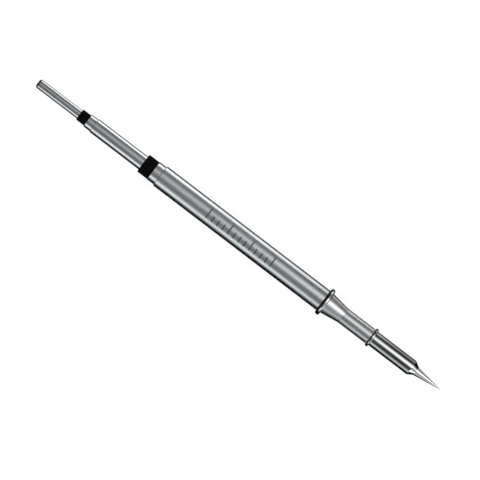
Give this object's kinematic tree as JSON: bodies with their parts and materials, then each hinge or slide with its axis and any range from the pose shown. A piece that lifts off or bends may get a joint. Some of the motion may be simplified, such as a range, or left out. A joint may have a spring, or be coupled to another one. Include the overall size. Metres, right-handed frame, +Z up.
{
  "type": "soldering iron tip",
  "caption": "Heater cartridge tip for a soldering iron: fine needle point, steel barrel with a stop bead, contacts in line at the rear.",
  "frame": {"origin": "on the axis at the rear face of the stop bead, where the cartridge meets its handle", "axes": "+X along the axis towards the needle's point, +Z up; the part is round about X"},
  "size_m": [0.0758, 0.0046, 0.0046],
  "materials": {
    "plated_tip": "polished",
    "sleeve_steel": "satin",
    "barrel_steel": "satin",
    "contact_steel": "satin",
    "black_insulator": "matte",
    "white_ceramic": "matte",
    "magnesia": "matte",
    "heater_alloy": "satin",
    "wire_alloy": "satin"
  },
  "bodies": {
    "root": {"soldering_tip": "plated_tip", "front_sleeve": "sleeve_steel", "main_barrel": "barrel_steel", "barrel_insulator": "black_insulator", "middle_contact": "contact_steel", "contact_insulator": "black_insulator", "rear_contact": "contact_steel", "centre_insulator": "white_ceramic", "spacer_ring": "white_ceramic", "magnesia_fill": "magnesia", "sleeve_insulator": "white_ceramic", "lead_insulator_1": "white_ceramic", "lead_insulator_2": "white_ceramic", "lead_insulator_3": "white_ceramic", "heater_bobbin": "white_ceramic", "heater_jacket": "white_ceramic", "heater_strip": "heater_alloy", "thermocouple_junction": "wire_alloy", "sense_wire": "wire_alloy", "heater_wire": "wire_alloy"}
  },
  "joints": []
}
